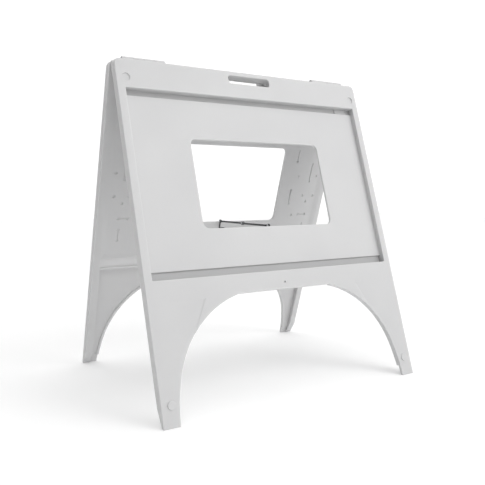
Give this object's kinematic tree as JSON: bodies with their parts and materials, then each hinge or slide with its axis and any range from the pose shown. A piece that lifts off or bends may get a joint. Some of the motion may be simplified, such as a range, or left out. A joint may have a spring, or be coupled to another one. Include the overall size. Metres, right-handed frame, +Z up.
{
  "type": "folding a-frame stand",
  "caption": "White moulded A-frame stand: matching panels with arched legs, a window and a hand slot fold on barrel hinges along the top; a folding stay holds it open.",
  "frame": {"origin": "on the floor, under the middle of the open stand", "axes": "+Z up, X across the panels along the hinge line, the front panel faces -Y"},
  "size_m": [0.965, 0.7518, 1.0654],
  "materials": {
    "white_hdpe": "fine moulded satin",
    "dark_steel": "dark oxide, slightly worn",
    "zinc_steel": "zinc plated",
    "spring_steel": "blackened spring steel"
  },
  "bodies": {
    "front_frame": {"front_panel": "white_hdpe", "hinge_pin_left": "zinc_steel", "hinge_pin_right": "zinc_steel", "pin_clip_left": "spring_steel", "pin_clip_right": "spring_steel", "stay_bracket_front": "dark_steel", "bracket_rivet_front": "zinc_steel", "bracket_screws_front": "zinc_steel"},
    "back_frame": {"back_panel": "white_hdpe", "stay_bracket_back": "dark_steel", "bracket_rivet_back": "zinc_steel", "bracket_screws_back": "zinc_steel"},
    "front_stay": {"stay_front_half": "dark_steel", "stay_rivet_head": "zinc_steel", "stay_spacer": "zinc_steel"},
    "back_stay": {"stay_back_half": "dark_steel", "stay_rivet_tail": "zinc_steel"}
  },
  "joints": [
    {"name": "fold", "type": "hinge", "parent": "front_frame", "child": "back_frame", "pos_m": [0, 0, 1.05487], "axis": [-1, 0, 0], "range_deg": [0, 36]},
    {"name": "front_stay_swing", "type": "hinge", "parent": "front_frame", "child": "front_stay", "pos_m": [0, -0.17039, 0.53047], "axis": [1, 0, 0], "range_deg": [0, 72]},
    {"name": "back_stay_swing", "type": "hinge", "parent": "back_frame", "child": "back_stay", "pos_m": [0, 0.17039, 0.53047], "axis": [-1, 0, 0], "range_deg": [0, 72]}
  ],
  "couplings": [
    {"joint": "front_stay_swing", "follows": "fold", "ratio": 2},
    {"joint": "back_stay_swing", "follows": "fold", "ratio": 2}
  ]
}
